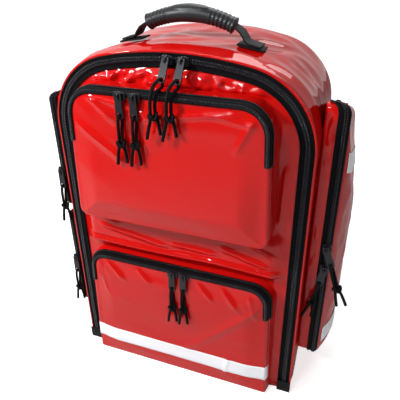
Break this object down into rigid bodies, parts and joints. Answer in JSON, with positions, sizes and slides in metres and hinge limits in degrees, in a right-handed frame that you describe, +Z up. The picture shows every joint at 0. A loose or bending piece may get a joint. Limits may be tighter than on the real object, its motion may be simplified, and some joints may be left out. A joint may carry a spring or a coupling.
{
  "type": "trauma backpack",
  "caption": "Large red tarpaulin emergency backpack with a clamshell front cover, zipped outer pockets, reflective bands, a rubber carry handle and padded shoulder straps.",
  "frame": {"origin": "on the base, at the middle of the main compartment's footprint", "axes": "+Z up, +Y from the front cover towards the wearer's back, +X towards the tall side pocket"},
  "size_m": [0.4801, 0.3273, 0.576],
  "materials": {
    "red_tarpaulin": "glossy coated tarpaulin",
    "zip_tape": "woven tape with nylon coil",
    "slider_metal": "gun-metal lacquer",
    "pull_cord": "braided cord",
    "reflective_tape": "silver reflective tape",
    "black_webbing": "woven webbing",
    "grip_rubber": "satin moulded rubber",
    "black_plastic": "moulded acetal",
    "black_mesh": "spacer mesh over foam",
    "board_plastic": "stiffener board",
    "divider_fabric": "foam-filled nylon"
  },
  "bodies": {
    "bag": {"main_shell": "red_tarpaulin", "main_zip_body_tape": "zip_tape", "base_board": "board_plastic", "divider_shelf": "divider_fabric", "right_pocket_tray": "red_tarpaulin", "left_upper_pocket_tray": "red_tarpaulin", "left_lower_pocket_tray": "red_tarpaulin", "side_pocket_zip_tapes": "zip_tape", "handle_anchor_tabs": "black_webbing", "back_pads": "black_mesh", "strap_anchors": "black_webbing"},
    "front_cover": {"cover_panel": "red_tarpaulin", "main_zip_cover_tape": "zip_tape", "upper_pocket_tray": "red_tarpaulin", "lower_pocket_tray": "red_tarpaulin", "front_pocket_zip_tapes": "zip_tape", "front_reflective_stripe": "reflective_tape"},
    "upper_flap": {"upper_pocket_flap": "red_tarpaulin", "upper_flap_zip_tape": "zip_tape"},
    "lower_flap": {"lower_pocket_flap": "red_tarpaulin", "lower_flap_zip_tape": "zip_tape"},
    "right_flap": {"right_pocket_flap": "red_tarpaulin", "right_flap_zip_tape": "zip_tape", "side_reflective_strips": "reflective_tape"},
    "left_upper_flap": {"left_upper_pocket_flap": "red_tarpaulin", "left_upper_flap_zip_tape": "zip_tape"},
    "left_lower_flap": {"left_lower_pocket_flap": "red_tarpaulin", "left_lower_flap_zip_tape": "zip_tape"},
    "carry_handle": {"handle_webbing": "black_webbing", "handle_grip": "grip_rubber"},
    "left_strap": {"left_shoulder_strap": "black_mesh", "left_ladder_lock": "black_plastic", "left_strap_webbing": "black_webbing"},
    "right_strap": {"right_shoulder_strap": "black_mesh", "right_ladder_lock": "black_plastic", "right_strap_webbing": "black_webbing"},
    "main_left_zip_pull": {"main_left_slider": "slider_metal", "main_left_pull_cord": "pull_cord"},
    "main_right_zip_pull": {"main_right_slider": "slider_metal", "main_right_pull_cord": "pull_cord"},
    "upper_pocket_left_zip_pull": {"upper_pocket_left_slider": "slider_metal", "upper_pocket_left_pull_cord": "pull_cord"},
    "upper_pocket_right_zip_pull": {"upper_pocket_right_slider": "slider_metal", "upper_pocket_right_pull_cord": "pull_cord"},
    "lower_pocket_left_zip_pull": {"lower_pocket_left_slider": "slider_metal", "lower_pocket_left_pull_cord": "pull_cord"},
    "lower_pocket_right_zip_pull": {"lower_pocket_right_slider": "slider_metal", "lower_pocket_right_pull_cord": "pull_cord"},
    "right_pocket_upper_zip_pull": {"right_pocket_upper_slider": "slider_metal", "right_pocket_upper_pull_cord": "pull_cord"},
    "right_pocket_lower_zip_pull": {"right_pocket_lower_slider": "slider_metal", "right_pocket_lower_pull_cord": "pull_cord"},
    "left_upper_pocket_zip_pull": {"left_upper_pocket_slider": "slider_metal", "left_upper_pocket_pull_cord": "pull_cord"},
    "left_lower_pocket_zip_pull": {"left_lower_pocket_slider": "slider_metal", "left_lower_pocket_pull_cord": "pull_cord"}
  },
  "joints": [
    {"name": "front_cover_hinge", "type": "hinge", "parent": "bag", "child": "front_cover", "pos_m": [0, -0.093, 0.0003], "axis": [1, 0, 0], "range_deg": [0, 120]},
    {"name": "upper_flap_fold", "type": "hinge", "parent": "front_cover", "child": "upper_flap", "pos_m": [0, -0.139, 0.41], "axis": [1, 0, 0], "range_deg": [0, 110], "deforming": ["main_left_pull_cord", "main_right_pull_cord", "upper_pocket_left_pull_cord", "upper_pocket_right_pull_cord"]},
    {"name": "lower_flap_fold", "type": "hinge", "parent": "front_cover", "child": "lower_flap", "pos_m": [0, -0.12413, 0.16], "axis": [1, 0, 0], "range_deg": [0, 110], "deforming": ["lower_pocket_left_pull_cord", "lower_pocket_right_pull_cord"]},
    {"name": "right_flap_hinge", "type": "hinge", "parent": "bag", "child": "right_flap", "pos_m": [0.2024, 0.0752, 0.275], "axis": [0, 0, 1], "range_deg": [0, 100]},
    {"name": "left_upper_flap_hinge", "type": "hinge", "parent": "bag", "child": "left_upper_flap", "pos_m": [-0.2024, 0.0752, 0.358], "axis": [0, 0, -1], "range_deg": [0, 100]},
    {"name": "left_lower_flap_hinge", "type": "hinge", "parent": "bag", "child": "left_lower_flap", "pos_m": [-0.2024, 0.0752, 0.156], "axis": [0, 0, -1], "range_deg": [0, 100]},
    {"name": "carry_handle_swing", "type": "hinge", "parent": "bag", "child": "carry_handle", "pos_m": [0, -0.038, 0.537], "axis": [1, 0, 0], "range_deg": [-35, 35], "deforming": ["handle_webbing"]},
    {"name": "left_strap_swing", "type": "hinge", "parent": "bag", "child": "left_strap", "pos_m": [-0.076, 0.104, 0.472], "axis": [-0.1153, 0, -0.9933], "range_deg": [-25, 25], "deforming": ["left_shoulder_strap", "left_strap_webbing"]},
    {"name": "right_strap_swing", "type": "hinge", "parent": "bag", "child": "right_strap", "pos_m": [0.076, 0.104, 0.472], "axis": [0.1153, 0, -0.9933], "range_deg": [-25, 25], "deforming": ["right_shoulder_strap", "right_strap_webbing"]},
    {"name": "main_left_slider_travel", "type": "hinge", "parent": "front_cover", "child": "main_left_zip_pull", "pos_m": [0, -0.1, 0.045], "axis": [0, 1, 0], "range_deg": [-7, 0], "deforming": ["main_left_pull_cord"]},
    {"name": "main_right_slider_travel", "type": "hinge", "parent": "front_cover", "child": "main_right_zip_pull", "pos_m": [0, -0.1, 0.045], "axis": [0, 1, 0], "range_deg": [0, 7], "deforming": ["main_right_pull_cord"]},
    {"name": "upper_pocket_left_slider_travel", "type": "slide", "parent": "upper_flap", "child": "upper_pocket_left_zip_pull", "axis": [1, 0, 0], "range_m": [-0.038, 0], "deforming": ["upper_pocket_left_pull_cord"]},
    {"name": "upper_pocket_right_slider_travel", "type": "slide", "parent": "upper_flap", "child": "upper_pocket_right_zip_pull", "axis": [1, 0, 0], "range_m": [0, 0.12], "deforming": ["upper_pocket_right_pull_cord"]},
    {"name": "lower_pocket_left_slider_travel", "type": "slide", "parent": "lower_flap", "child": "lower_pocket_left_zip_pull", "axis": [1, 0, 0], "range_m": [-0.1, 0], "deforming": ["lower_pocket_left_pull_cord"]},
    {"name": "lower_pocket_right_slider_travel", "type": "slide", "parent": "lower_flap", "child": "lower_pocket_right_zip_pull", "axis": [1, 0, 0], "range_m": [0, 0.09], "deforming": ["lower_pocket_right_pull_cord"]},
    {"name": "right_pocket_upper_slider_travel", "type": "slide", "parent": "right_flap", "child": "right_pocket_upper_zip_pull", "axis": [0, 0, 1], "range_m": [0, 0.18], "deforming": ["right_pocket_upper_pull_cord"]},
    {"name": "right_pocket_lower_slider_travel", "type": "slide", "parent": "right_flap", "child": "right_pocket_lower_zip_pull", "axis": [0, 0, 1], "range_m": [-0.13, 0], "deforming": ["right_pocket_lower_pull_cord"]},
    {"name": "left_upper_slider_travel", "type": "slide", "parent": "left_upper_flap", "child": "left_upper_pocket_zip_pull", "axis": [0, 0, 1], "range_m": [-0.02, 0.115], "deforming": ["left_upper_pocket_pull_cord"]},
    {"name": "left_lower_slider_travel", "type": "slide", "parent": "left_lower_flap", "child": "left_lower_pocket_zip_pull", "axis": [0, 0, 1], "range_m": [-0.06, 0.08], "deforming": ["left_lower_pocket_pull_cord"]}
  ]
}
